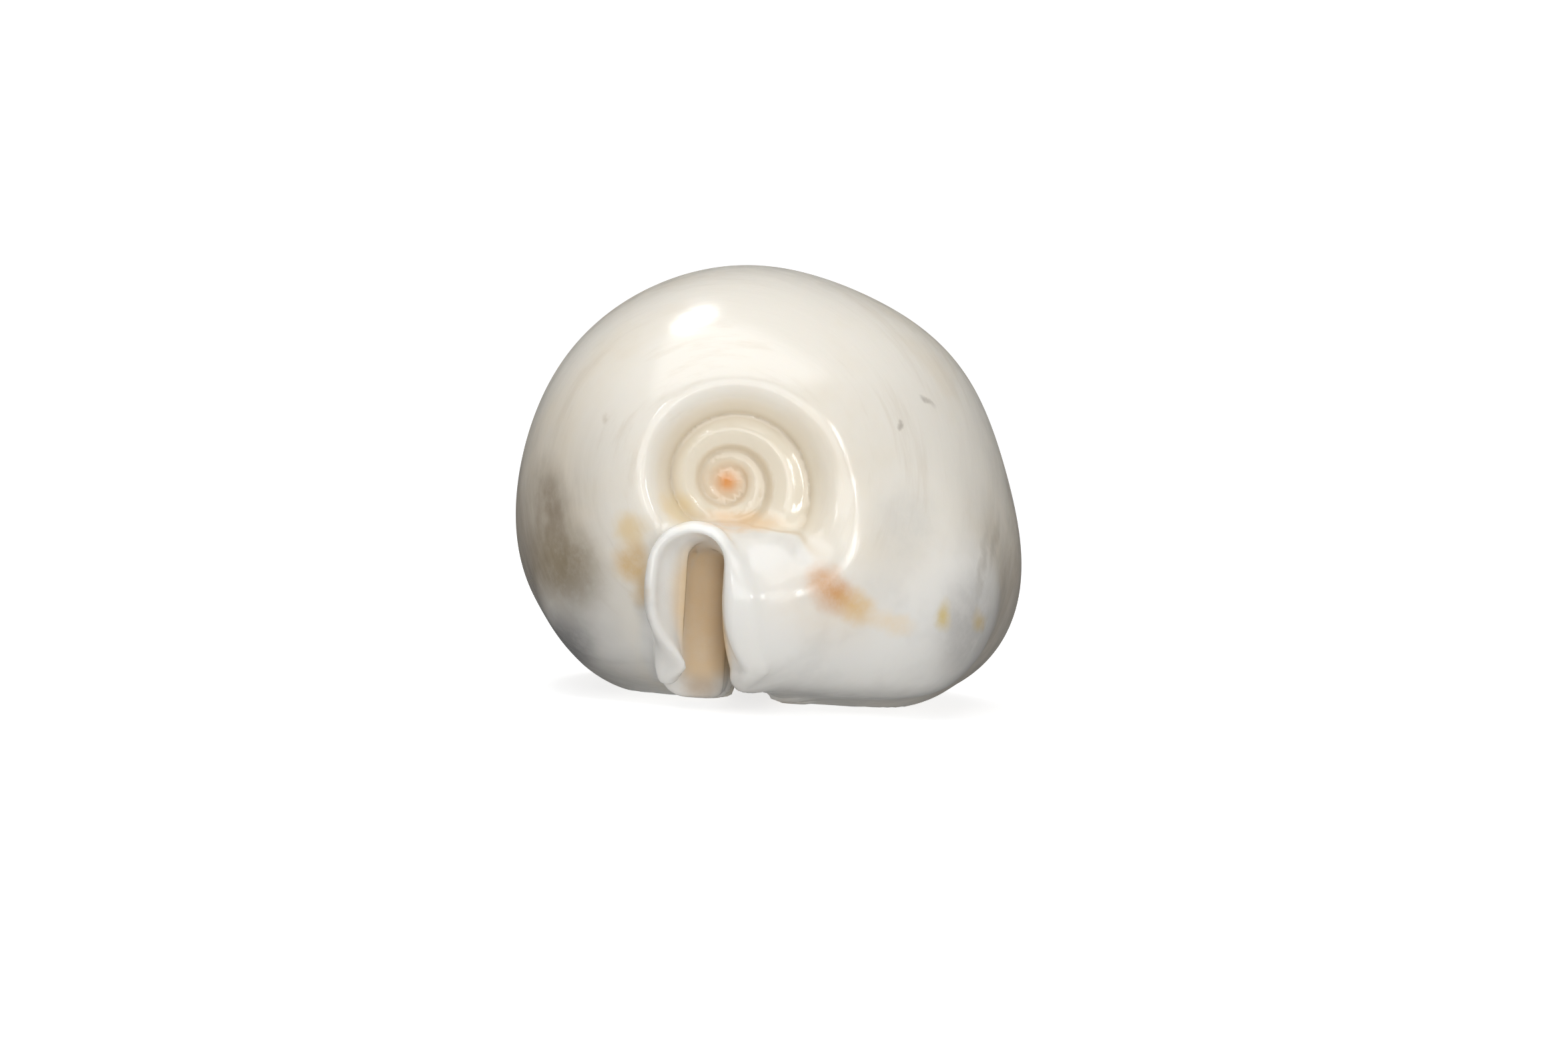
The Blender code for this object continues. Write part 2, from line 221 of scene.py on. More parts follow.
class CowrieColours(bpy.types.PropertyGroup):
    """Colours of the enamel."""

    cream: FloatVectorProperty(
        name="Cream",
        description="Enamel over the back of the shell",
        subtype="COLOR",
        default=(0.84, 0.80, 0.72),
    )
    warm: FloatVectorProperty(
        name="Warm cream",
        description="Cloudy patches in the cream",
        subtype="COLOR",
        default=(0.80, 0.73, 0.61),
    )
    callus: FloatVectorProperty(
        name="Callus",
        description="Bluish white of the lips and the rim",
        subtype="COLOR",
        default=(0.80, 0.785, 0.745),
    )
    # Flank: brown grey of the flanks, partly their own colour and partly painted shade towards the bottom.
    flank_and_shade: FloatVectorProperty(
        name="Flank",
        description="Brown grey along both flanks",
        subtype="COLOR",
        default=(0.30, 0.25, 0.19),
    )
    line: FloatVectorProperty(
        name="Lines",
        description="Fine growth lines in the cream",
        subtype="COLOR",
        default=(0.66, 0.58, 0.47),
    )
    # Shade: painted shade, grey, low on the lips towards the flanks; a little of it also mottles the callus.
    shade: FloatVectorProperty(
        name="Shade",
        description="Grey of the lips where they meet the flanks",
        subtype="COLOR",
        default=(0.31, 0.30, 0.285),
    )
    # Pit: beige of the sunken spire, partly its own colour and partly painted shade, laid on more where the
    # hollow is deeper.
    pit: FloatVectorProperty(
        name="Pit",
        description="Beige of the sunken spire",
        subtype="COLOR",
        default=(0.85, 0.775, 0.635),
    )
    seam: FloatVectorProperty(
        name="Seam",
        description="Brown in the seams of the spire",
        subtype="COLOR",
        default=(0.62, 0.49, 0.32),
    )
    halo: FloatVectorProperty(
        name="Halo",
        description="Peach around the first whorls",
        subtype="COLOR",
        default=(0.82, 0.58, 0.36),
    )
    apex: FloatVectorProperty(
        name="Apex",
        description="Orange of the first whorls",
        subtype="COLOR",
        default=(0.78, 0.32, 0.08),
    )
    canal: FloatVectorProperty(
        name="Canal",
        description="Brown inside the back canal",
        subtype="COLOR",
        default=(0.78, 0.60, 0.385),
    )


class CowrieStudio(bpy.types.PropertyGroup):
    """The studio around the shell."""

    camera_distance: FloatProperty(
        name="Camera distance",
        description="From the camera to the shell's middle",
        default=0.5,
        unit="LENGTH",
    )
    key_power: FloatProperty(
        name="Key light",
        description="Power of the small overhead softbox",
        default=3.0,
        unit="POWER",
    )
    over_power: FloatProperty(
        name="Overhead light",
        description="Power of the wide overhead light",
        default=12.9,
        unit="POWER",
    )
    left_power: FloatProperty(
        name="Left light",
        description="Power of the left strip light",
        default=0.7,
        unit="POWER",
    )
    camera_power: FloatProperty(
        name="Camera light",
        description="Power of the small light over the camera",
        default=0.18,
        unit="POWER",
    )
    right_power: FloatProperty(
        name="Right light",
        description="Power of the right strip light",
        default=1.8,
        unit="POWER",
    )
    front_power: FloatProperty(
        name="Front light",
        description="Power of the light by the camera",
        default=6.1,
        unit="POWER",
    )
    room: FloatProperty(
        name="Room",
        description="Brightness of the room's own light",
        default=0.10,
    )
    table_glow: FloatProperty(
        name="Table glow",
        description="Light that the lit table gives off",
        default=0.32,
    )
    table_white: FloatProperty(
        name="Table white",
        description="How bright the lit table looks",
        default=0.75,
    )
    floor_colour: FloatVectorProperty(
        name="Floor",
        description="Pale floor and backdrop",
        subtype="COLOR",
        default=(0.50, 0.50, 0.50),
    )


def smooth_step(value, low, high):
    """From 0 at low to 1 at high, level at both ends."""
    share = np.clip((value - low) / (high - low), 0.0, 1.0)
    return share * share * (3.0 - 2.0 * share)


def joined(first, second, blend):
    """Union of two fields with a fillet about as wide as blend."""
    share = np.clip(0.5 + 0.5 * (second - first) / blend, 0.0, 1.0)
    return second + share * (first - second) - blend * share * (1.0 - share)


def cut(solid, cutter, blend):
    """Solid less cutter, with the edge rounded."""
    return -joined(-solid, cutter, blend)


def through(stations, values, place):
    """A smooth curve through values at stations, read at place."""
    stations = np.asarray(stations, float)
    values = np.asarray(values, float)
    slopes = np.gradient(values, stations)
    place = np.clip(place, stations[0], stations[-1])
    index = np.clip(np.searchsorted(stations, place) - 1, 0, len(stations) - 2)
    span = stations[index + 1] - stations[index]
    share = (place - stations[index]) / span
    square, cube = share**2, share**3
    return (
        (2 * cube - 3 * square + 1) * values[index]
        + (cube - 2 * square + share) * span * slopes[index]
        + (3 * square - 2 * cube) * values[index + 1]
        + (cube - square) * span * slopes[index + 1]
    )


def girth_radius(angle):
    """The body whorl's radius at an angle about its centre line."""
    count = len(GIRTH_RADII)
    waves = np.fft.rfft(GIRTH_RADII) / count
    radius = np.full_like(angle, waves[0].real)
    for order in range(1, count // 2 + 1):
        weight = 1.0 if order == count // 2 else 2.0
        turned = order * angle
        radius += weight * (waves[order].real * np.cos(turned) - waves[order].imag * np.sin(turned))
    return radius


def body_whorl(x, y, z, inset=0.0, back=BACK_LENGTH):
    """The egg of the last whorl. inset makes it smaller all round, for the chamber."""
    along = y - WIDEST_Y
    length = np.where(along < 0.0, back, FRONT_LENGTH) - inset
    power = np.where(along < 0.0, BACK_POWER, FRONT_POWER)
    share = np.abs(along) / length
    centre_x = through((-1, 0, 1), (APEX_X, 0.0, -0.5), along / length)
    centre_z = through((-1, 0, 1), (APEX_Z, 24.0, 17.0), along / length)
    across, up = x - centre_x, z - centre_z
    radius = np.maximum(np.hypot(across, up), 1e-6)
    girth = girth_radius(np.arctan2(up, across)) - inset
    ratio = radius / girth
    level = np.sqrt(ratio**2 + share**power)
    safe = np.maximum(level, 1e-6)
    steep_across = ratio / (safe * girth)
    steep_along = power * share ** (power - 1.0) / (2.0 * safe * length)
    return (level - 1.0) / np.maximum(np.hypot(steep_across, steep_along), 0.012)


def whorl_place(x, z):
    """Where a point of the back end lies on the coil: radius, turns and whorl, negative inside."""
    across, up = x - APEX_X, z - APEX_Z
    radius = np.maximum(np.hypot(across, up), 1e-3)
    turned = (0.25 - np.arctan2(up, across) / (2.0 * math.pi) + SEAM_TURNS) % 1.0 - SEAM_TURNS
    whorl = np.log(radius / SUTURE_RADIUS) / math.log(WHORL_GROWTH) - turned
    return radius, turned, whorl


def spire_depth(x, z, deepest):
    """How far the end of the body whorl is sunk, with the coiled whorls standing in the hollow."""
    radius, turned, whorl = whorl_place(x, z)
    phase = whorl - np.floor(whorl)
    cone = deepest - SPIRE_SLOPE * radius
    terrace = smooth_step(phase, 0.0, 0.26) * (1.0 - smooth_step(phase, 0.55, 1.0))
    coiled = cone - WHORL_BULGE * radius * terrace * smooth_step(radius, 1.2, 2.6)
    suture = SUTURE_RADIUS * WHORL_GROWTH**turned
    shoulder = np.clip(whorl / SHOULDER_TURNS, 0.0, 1.0)
    wall = (deepest - SPIRE_SLOPE * suture) * (1.0 - np.sin(shoulder * math.pi / 2.0)) ** SHOULDER_POWER
    depth = np.where(whorl < 0.0, coiled, wall)
    nucleus = NUCLEUS_HEIGHT * np.exp(-((radius / NUCLEUS_RADIUS) ** 2))
    return depth - nucleus


def capsule(x, y, z, start, end, start_radius, end_radius):
    """A rounded rod between two points, whose radius changes evenly."""
    axis = np.subtract(end, start)
    offset = (x - start[0]) * axis[0] + (y - start[1]) * axis[1] + (z - start[2]) * axis[2]
    share = np.clip(offset / (axis @ axis), 0.0, 1.0)
    away = np.sqrt(
        (x - start[0] - share * axis[0]) ** 2
        + (y - start[1] - share * axis[1]) ** 2
        + (z - start[2] - share * axis[2]) ** 2
    )
    return away - (start_radius + share * (end_radius - start_radius))


def back_lips(x, y, z):
    """The thick ends of the lips beside the back canal: the outer on the right, the inner on the left."""
    outer = capsule(x, y, z, (0.0, -37.0, 12.0), (15.5, -26.5, 12.0), 7.6, 9.5)
    outer = joined(outer, capsule(x, y, z, (0.5, -36.0, 12.0), (10.0, -11.0, 8.0), 7.6, 8.7), 6.0)
    inner = capsule(x, y, z, (-16.2, -28.0, 11.4), (-9.5, -12.0, 7.2), 6.0, 7.8)
    return outer, inner


def front_lips(x, y, z):
    """The beak at the front end: two lips with an arch over them."""
    outer = capsule(x, y, z, (8.5, 20.0, 8.0), (4.8, 43.5, 10.8), 7.0, 3.2)
    inner = capsule(x, y, z, (-8.5, 20.0, 8.0), (-4.8, 43.5, 10.8), 7.0, 3.2)
    arch = capsule(x, y, z, (0.0, 24.0, 18.0), (0.0, 42.5, 15.2), 8.5, 3.3)
    return joined(joined(outer, inner, 4.0), arch, 5.0)


def cleft_between(x, y, z, stations, left_edge, right_edge, top):
    """A cleft with a round roof, between two edges given at stations along the shell."""
    mouth = 1.0 - smooth_step(y, -44.5, MOUTH_END_Y)
    flare = 1.0 - 0.55 * smooth_step(y, -44.5, MOUTH_END_Y) - 0.45 * smooth_step(y, -38.5, -35.0)
    low = np.clip((MOUTH_TURN_Z - z) / (MOUTH_TURN_Z - MOUTH_FOOT_Z), 0.0, 1.0)
    left = through(stations, left_edge, y) + LEFT_TURN * mouth * low**2.6
    right = through(stations, right_edge, y) + RIGHT_TURN * flare * low**2.4
    half = (right - left) / 2.0
    roof = through(stations, top, y)
    return np.hypot(x - (left + right) / 2.0, np.maximum(z - (roof - half), 0.0)) - half


def slot(x, y, z):
    """The aperture, which runs the whole length of the base and up both ends."""
    return cleft_between(x, y, z, SLOT_Y, SLOT_LEFT, SLOT_RIGHT, SLOT_ROOF)


def canal_rim(x, y, z, crest_wall):
    """The wall that stands around the mouth of the back canal."""
    mouth = cleft_between(x, y, z, RIM_Y, RIM_LEFT, RIM_RIGHT, RIM_ROOF)
    drop = z - RIM_CREST_Z
    crest = RIM_CREST_Y + np.where(drop < 0.0, 0.034, 0.03) * drop**2
    thickens = RIM_THICKENS * (1.0 - 0.85 * smooth_step(z, 14.0, 19.0))
    wall = crest_wall + thickens * np.maximum(y - crest, 0.0)
    shape = cut(mouth - wall, y - crest, 1.4)
    return cut(shape, RIM_ROOT_Y - y, 4.0)


def lip_rounding(y, z):
    """How round the aperture's edges are: sharp at the canal's mouth, rounder inside it and at its foot."""
    low = 1.0 - smooth_step(z, 2.5, 6.0)
    foot = low * smooth_step(y, -44.0, -41.0) * (1.0 - smooth_step(y, -38.0, -34.0))
    return RIM_ROUNDING + (LIP_ROUNDING - RIM_ROUNDING) * smooth_step(y, -40.0, -28.0) + 1.6 * foot


def underside(x, y):
    """The height of the base above the floor; below zero where the shell is worn flat on the floor."""
    hollow = HOLLOW * np.exp(-(((x - HOLLOW_X) / HOLLOW_WIDTH) ** 2)) * smooth_step(y, -14.0, 2.0)
    return through(BASE_Y, BASE_Z, y) + hollow


def teeth(y, z, cleft, height):
    """How far the teeth stand out of the lips at a place."""
    ridge = 0.5 + 0.5 * np.cos(2.0 * math.pi * y / TOOTH_PITCH)
    near = smooth_step(-np.abs(cleft), -TOOTH_REACH, -2.0)
    low = smooth_step(-z, -9.0, -5.0)
    between = smooth_step(y, TEETH_FROM_Y - 3.0, TEETH_FROM_Y + 3.0)
    between *= smooth_step(-y, -TEETH_TO_Y - 3.0, -TEETH_TO_Y + 3.0)
    return height * ridge * near * low * between


def chamber(x, y, z):
    """The hollow of the last whorl. Its back wall leans forward on the left, round the earlier whorls."""
    egg = body_whorl(x, y, z, WALL, BACK_LENGTH - 6.0)
    back = CHAMBER_BACK_Y + 0.6 * np.maximum(4.0 - x, 0.0) - y
    within = cut(egg, -back, 5.0)
    return cut(within, z - CHAMBER_FLOOR_Z, 4.0)


class ShellForm:
    """The shell's field, and the marks on its surface that the enamel reads."""

    def __init__(self, sizes):
        self.deepest = sizes.spire_depth / METRE
        self.rim_wall = sizes.rim_wall / METRE
        self.tooth_height = sizes.tooth_height / METRE

    def outer_forms(self, x, y, z):
        """The body whorl, the lips around it, and the whole outside before anything is cut."""
        fade = 1.0 - smooth_step(y, -24.0, -12.0)
        body = body_whorl(x, y - spire_depth(x, z, self.deepest) * fade, z)
        outer_lip, inner_lip = back_lips(x, y, z)
        by_spire = smooth_step(z, 13.0, 20.0) * (1.0 - smooth_step(x, 2.0, 12.0))
        solid = joined(body, outer_lip, 9.0 - 6.0 * by_spire)
        solid = joined(solid, inner_lip, 8.0)
        beak = front_lips(x, y, z)
        solid = joined(solid, beak, 7.0)
        cleft = slot(x, y, z)
        rim = canal_rim(x, y, z, self.rim_wall)
        solid = joined(solid, rim, 2.0 + 3.0 * smooth_step(x, -9.0, -4.0) * (1.0 - by_spire))
        lips = np.minimum(np.minimum(outer_lip, inner_lip), np.minimum(beak, rim))
        return body, lips, solid, cleft

    def field(self, x, y, z):
        """Negative in the shell's wall."""
        _, _, solid, cleft = self.outer_forms(x, y, z)
        solid = cut(solid, z - underside(x, y), 3.0)
        solid = cut(solid, chamber(x, y, z), 1.0)
        solid = cut(solid, cleft, lip_rounding(y, z))
        solid = solid - teeth(y, z, cleft, self.tooth_height)
        return np.maximum(solid, -z)

    def marks(self, points):
        """What each point of the surface carries, as numbers from 0 to 1."""
        x, y, z = points.T
        body, lips, solid, _ = self.outer_forms(x, y, z)
        back_end = 1.0 - smooth_step(y, -30.0, -22.0)
        radius, _, whorl = whorl_place(x, z)
        phase = whorl - np.floor(whorl)
        seam = np.minimum(phase, 1.0 - phase) * radius * math.log(WHORL_GROWTH)
        coiled = smooth_step(-whorl, -0.12, 0.02) * smooth_step(radius, 0.8, 2.0)
        by_pit = smooth_step(z, 15.0, 19.0) * smooth_step(x, -4.0, -1.0) * (1.0 - smooth_step(x, 4.0, 18.0))
        soft = np.maximum(smooth_step(x, 1.0, 10.0), smooth_step(-x, 13.0, 18.0))
        return {
            # Pit: stronger where the spire is sunk deeper; partly the spire's own beige, partly painted
            # shade in the hollow.
            "pit": smooth_step(spire_depth(x, z, self.deepest), 0.3, 4.5) * back_end,
            "suture": (1.0 - smooth_step(seam, 0.15, 1.1)) * coiled * back_end,
            "apex": np.exp(-((radius / 1.0) ** 2)) * back_end,
            "callus": smooth_step(body - lips - 1.6 * by_pit, -0.7 - 2.8 * soft, 0.9 + 2.6 * soft),
            "inward": smooth_step(-solid, 1.6, 3.6) * smooth_step(z, 2.6, 5.0),
        }


def stations_between(low, high, fine, wide, fine_low, fine_high):
    """Grid stations that are close together between fine_low and fine_high, and wider apart elsewhere."""
    places = [low]
    while places[-1] < high:
        at = places[-1]
        beyond = max(fine_low - at, at - fine_high, 0.0)
        places.append(at + fine + (wide - fine) * min(1.0, beyond / FINE_FADES_OVER))
    return np.array(places)


def points_in_cells(values, inside, cells, axes):
    """One point in each of the cells: the middle of the surface's crossings on the cell's edges."""
    summed, count = np.zeros((len(cells), 3)), np.zeros(len(cells))
    for axis in range(3):
        step = np.eye(3, dtype=int)[axis]
        for corner in CELL_CORNERS:
            if corner[axis]:
                continue
            low = cells + corner
            high = low + step
            first, second = values[tuple(low.T)], values[tuple(high.T)]
            crossed = inside[tuple(low.T)] != inside[tuple(high.T)]
            share = first[crossed] / (first[crossed] - second[crossed])
            summed[crossed] += low[crossed] + share[:, None] * step
            count[crossed] += 1
    place = summed / count[:, None]
    whole = np.minimum(place.astype(int), [len(a) - 2 for a in axes])
    part = place - whole
    points = np.empty_like(place)
    for axis, stations in enumerate(axes):
        before, after = stations[whole[:, axis]], stations[whole[:, axis] + 1]
        points[:, axis] = before + part[:, axis] * (after - before)
    return points


def quads_round_edges(inside, index):
    """A quad round each grid edge that the surface crosses, between the points of its four cells."""
    quads = []
    for axis in range(3):
        one, two = (axis + 1) % 3, (axis + 2) % 3
        low, high = [slice(None)] * 3, [slice(None)] * 3
        low[axis], high[axis] = slice(0, -1), slice(1, None)
        change = inside[tuple(low)].astype(np.int8) - inside[tuple(high)].astype(np.int8)
        edges = np.argwhere(change != 0)
        edges = edges[(edges[:, one] > 0) & (edges[:, two] > 0)]
        sign = change[tuple(edges.T)]
        back_one, back_two = np.eye(3, dtype=int)[one], np.eye(3, dtype=int)[two]
        ring = [edges - back_one - back_two, edges - back_two, edges, edges - back_one]
        quad = np.stack([index[tuple(r.T)] for r in ring], axis=1)
        quad[sign < 0] = quad[sign < 0][:, ::-1]
        quads.append(quad)
    return np.concatenate(quads)


def net_over_zero(values, axes):
    """Points and quads on the zero surface of a gridded field."""
    inside = values < 0.0
    shape = tuple(n - 1 for n in values.shape)
    total = np.zeros(shape, np.int8)
    for i, j, k in CELL_CORNERS:
        total += inside[i : i + shape[0], j : j + shape[1], k : k + shape[2]]
    cells = np.argwhere((total > 0) & (total < len(CELL_CORNERS)))
    index = np.full(shape, -1, np.int64)
    index[tuple(cells.T)] = np.arange(len(cells))
    return points_in_cells(values, inside, cells, axes), quads_round_edges(inside, index)


def slope_of(field, points, reach):
    """The field's slope at each point."""
    x, y, z = points.T
    return np.stack(
        [
            field(x + reach, y, z) - field(x - reach, y, z),
            field(x, y + reach, z) - field(x, y - reach, z),
            field(x, y, z + reach) - field(x, y, z - reach),
        ],
        axis=1,
    ) / (2.0 * reach)


def settled(points, field, rounds=4):
    """The points moved along the field's slope until they lie on its zero surface."""
    for _ in range(rounds):
        slope = slope_of(field, points, 0.02)
        length = np.maximum((slope**2).sum(axis=1), 0.1)
        move = -(field(*points.T) / length)[:, None] * slope
        size = np.maximum(np.linalg.norm(move, axis=1), 1e-9)
        points = points + move * np.minimum(1.0, 0.4 / size)[:, None]
    return points


def within_box(places):
    """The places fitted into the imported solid's box, which is a few hundredths of a millimetre smaller."""
    low, high = np.array(CAD_BOX)
    mine_low, mine_high = places.min(axis=0), places.max(axis=0)
    return low + (places - mine_low) * (high - low) / (mine_high - mine_low)


def shell_mesh(sizes):
    """The shell's mesh, with true normals and the marks that the enamel reads."""
    form = ShellForm(sizes)
    fine, wide = sizes.fine_step / METRE, sizes.wide_step / METRE
    axes = [stations_between(low, high, fine, wide, *fine_part) for low, high, *fine_part in GRID]
    x, y, z = np.meshgrid(*axes, indexing="ij")
    points, quads = net_over_zero(form.field(x, y, z), axes)
    points = settled(points, form.field)
    normals = slope_of(form.field, points, 0.06)
    normals /= np.maximum(np.linalg.norm(normals, axis=1), 1e-9)[:, None]
    mesh = bpy.data.meshes.new("cowrie")
    mesh.from_pydata(within_box((points - MIDDLE) * METRE).tolist(), [], quads.tolist())
    mesh.shade_smooth()
    mesh.normals_split_custom_set_from_vertices(normals.tolist())
    for name, values in form.marks(points).items():
        layer = mesh.attributes.new(name, "FLOAT", "POINT")
        layer.data.foreach_set("value", values.astype(np.float32))
    return mesh


class Recipe:
    """Adds nodes to a material and joins them up."""

    def __init__(self, tree):
        self.tree = tree

    def node(self, kind, settings=None, **inputs):
        """Adds a node, with its settings and what feeds its inputs."""
        made = self.tree.nodes.new(kind)
        for key, value in (settings or {}).items():
            setattr(made, key, value)
        for key, value in inputs.items():
            self.feed(made.inputs[key], value)
        return made

    def feed(self, socket, value):
        """Links a socket to the input, or sets the input to a value."""
        if isinstance(value, bpy.types.NodeSocket):
            self.tree.links.new(value, socket)
        elif isinstance(value, (tuple, list)) and socket.type == "RGBA":
            socket.default_value = (*value[:3], 1.0)
        else:
            socket.default_value = value

    def maths(self, operation, first, second):
        made = self.tree.nodes.new("ShaderNodeMath")
        made.operation = operation
        self.feed(made.inputs[0], first)
        self.feed(made.inputs[1], second)
        return made.outputs[0]

    def mark(self, name):
        """What the mesh's points carry under a name."""
        return self.node("ShaderNodeAttribute", {"attribute_name": name}).outputs["Fac"]

    def vector(self, operation, first, second=(0.0, 0.0, 0.0), scale=1.0):
        made = self.tree.nodes.new("ShaderNodeVectorMath")
        made.operation = operation
        self.feed(made.inputs[0], first)
        self.feed(made.inputs[1], second)
        if operation == "SCALE":
            made.inputs["Scale"].default_value = scale
        return made.outputs["Value"] if operation == "LENGTH" else made.outputs["Vector"]

    def noise(self, where, scale, detail=3.0, roughness=0.55, coloured=False):
        made = self.node("ShaderNodeTexNoise", Vector=where, Scale=scale, Detail=detail, Roughness=roughness)
        return made.outputs["Color" if coloured else "Fac"]

    def around(self, place, length):
        """The place unrolled about the spire's axis, so that noise read there runs in lines around it."""
        axis = ((APEX_X - MIDDLE[0]) * METRE, 0.0, APEX_Z * METRE)
        from_axis = self.vector("MULTIPLY", self.vector("SUBTRACT", place, axis), (1.0, 0.0, 1.0))
        facing = self.vector("SCALE", self.vector("NORMALIZE", from_axis), scale=LINE_FACING)
        stretched = self.maths("MULTIPLY", length, LINE_STRETCH)
        out = self.node("ShaderNodeCombineXYZ", X=stretched, Y=self.vector("LENGTH", from_axis))
        return self.vector("ADD", facing, out.outputs[0])

    def wandering(self, place):
        """The place moved a little by noise, so that a patch read there has a ragged edge."""
        noise = self.noise(place, WANDER_SCALE, 4.0, coloured=True)
        wander = self.vector("SCALE", self.vector("SUBTRACT", noise, (0.5, 0.5, 0.5)), scale=WANDER_REACH)
        return self.vector("ADD", place, wander)

    def ramp(self, value, low, high, out_low=0.0, out_high=1.0):
        """Smoothly from out_low to out_high as value goes from low to high."""
        made = self.node("ShaderNodeMapRange", {"interpolation_type": "SMOOTHSTEP"})
        for index, given in enumerate((value, low, high, out_low, out_high)):
            self.feed(made.inputs[index], given)
        return made.outputs[0]

    def mix(self, share, first, second):
        """The first colour where share is 0, and the second where it is 1."""
        made = self.node("ShaderNodeMix", {"data_type": "RGBA", "clamp_factor": True})
        self.feed(made.inputs[0], share)
        self.feed(made.inputs[6], first)
        self.feed(made.inputs[7], second)
        return made.outputs[2]

    def spot(self, where, centre, reach, turn=0.0):
        """An egg-shaped patch in millimetres, from 1 about its centre to 0 at its reach."""
        moved = self.node("ShaderNodeMapping", {"vector_type": "TEXTURE"}, Vector=where)
        moved.inputs["Location"].default_value = Vector(np.subtract(centre, MIDDLE)) * METRE
        moved.inputs["Rotation"].default_value = (0.0, math.radians(turn), 0.0)
        moved.inputs["Scale"].default_value = Vector(reach) * METRE
        return self.ramp(self.vector("LENGTH", moved.outputs[0]), 1.0, 0.25)


# Stains on the enamel, and patches of painted shade and painted light: what it is, centre and reach in
# millimetres, turn in degrees, colour and strength.
STAINS_AND_PAINTED_LIGHT = (
    # Painted shade: grey patches low on the left and the right, and a painted shadow on the rim's left side.
    ("painted shade below the left bulge", (-21.0, -26.0, 6.2), (4.6, 18.0, 5.6), 0.0, (0.20, 0.195, 0.19), 0.90),
    ("painted shade low on the right", (23.0, -26.0, 11.0), (6.0, 20.0, 9.0), 0.0, (0.34, 0.325, 0.31), 0.62),
    ("painted shadow on the rim's left side", (-12.8, -42.0, 10.5), (1.9, 6.0, 7.0), 0.0, (0.36, 0.36, 0.355), 0.75),
    ("grey on the right shoulder", (15.4, -36.0, 21.6), (6.0, 14.0, 6.5), 20.0, (0.56, 0.545, 0.51), 0.40),
    ("warm haze on the callus", (5.5, -38.0, 13.0), (11.0, 14.0, 6.5), 15.0, (0.80, 0.66, 0.48), 0.40),
    ("orange", (7.4, -38.0, 14.5), (4.6, 12.0, 3.3), 35.0, (0.62, 0.27, 0.05), 1.0),
    ("ochre", (10.4, -37.0, 12.8), (3.6, 12.0, 2.7), 25.0, (0.74, 0.47, 0.16), 0.75),
    ("peach", (14.6, -36.0, 11.2), (4.0, 12.0, 1.8), 15.0, (0.82, 0.64, 0.40), 0.50),
    ("yellow on the right", (20.4, -30.0, 12.3), (1.5, 14.0, 2.4), 0.0, (0.62, 0.45, 0.10), 0.80),
    ("yellow at the right edge", (24.4, -24.0, 11.8), (1.3, 14.0, 2.1), 0.0, (0.54, 0.38, 0.11), 0.75),
    ("ochre high on the left", (-14.6, -38.0, 19.4), (2.8, 12.0, 2.8), 0.0, (0.74, 0.52, 0.20), 0.60),
    ("ochre on the left", (-14.2, -36.0, 15.9), (3.2, 14.0, 3.4), 0.0, (0.66, 0.42, 0.14), 0.80),
    ("ochre low on the left", (-13.0, -36.0, 13.0), (2.0, 14.0, 2.6), 0.0, (0.66, 0.44, 0.18), 0.60),
    ("olive", (-21.0, -26.0, 15.0), (6.6, 22.0, 8.0), -20.0, (0.15, 0.10, 0.03), 0.78),
    ("grey streak on the left", (-23.6, -20.0, 21.6), (3.4, 26.0, 7.2), -12.0, (0.16, 0.11, 0.06), 0.80),
    ("long streak on the right", (24.6, -20.0, 17.6), (0.8, 24.0, 6.0), 6.0, (0.30, 0.26, 0.21), 0.40),
    ("short streak on the right", (26.1, -16.0, 20.0), (0.7, 24.0, 4.6), 8.0, (0.34, 0.29, 0.23), 0.35),
    # Painted light: the rim's crest made whiter where light falls on its top.
    ("painted light on the rim's crest", (-6.8, -45.0, 20.0), (6.5, 6.0, 2.6), 0.0, (0.92, 0.915, 0.88), 0.90),
    ("fleck above on the right", (17.6, -33.0, 35.8), (1.5, 12.0, 0.5), 35.0, (0.34, 0.29, 0.24), 0.65),
    ("fleck on the right", (14.2, -36.0, 32.9), (0.5, 12.0, 0.6), 0.0, (0.36, 0.31, 0.26), 0.60),
    ("fleck on the left", (-18.2, -34.0, 31.6), (0.6, 12.0, 0.9), 0.0, (0.52, 0.44, 0.34), 0.40),
    ("stain under the spire", (-2.6, -40.0, 21.3), (6.5, 14.0, 1.5), 2.0, (0.84, 0.56, 0.30), 0.60),
    ("stain left of the spire", (-9.6, -40.0, 22.2), (3.2, 14.0, 2.2), 40.0, (0.80, 0.62, 0.32), 0.50),
    ("brown at the foot of the canal", (-5.8, -40.0, 3.2), (3.4, 9.0, 4.2), 0.0, (0.50, 0.36, 0.22), 0.70),
    ("dot in the canal", (-7.5, -42.0, 17.6), (0.45, 7.0, 0.6), 0.0, (0.16, 0.10, 0.07), 0.85),
    ("brown inside the outer lip", (3.4, 4.0, 1.0), (2.6, 44.0, 3.0), 0.0, (0.62, 0.46, 0.30), 0.35),
    ("grey on the back", (8.0, 22.0, 46.0), (15.0, 17.0, 10.0), 20.0, (0.62, 0.57, 0.50), 0.35),
    ("ochre on the back", (-12.0, 12.0, 43.0), (7.0, 10.0, 9.0), 0.0, (0.66, 0.50, 0.28), 0.30),
    ("ochre by the beak", (6.0, 40.0, 17.0), (5.0, 5.5, 5.0), 0.0, (0.68, 0.47, 0.22), 0.55),
    ("orange by the beak", (-6.5, 38.0, 13.0), (4.0, 5.0, 4.5), 0.0, (0.66, 0.38, 0.17), 0.45),
)


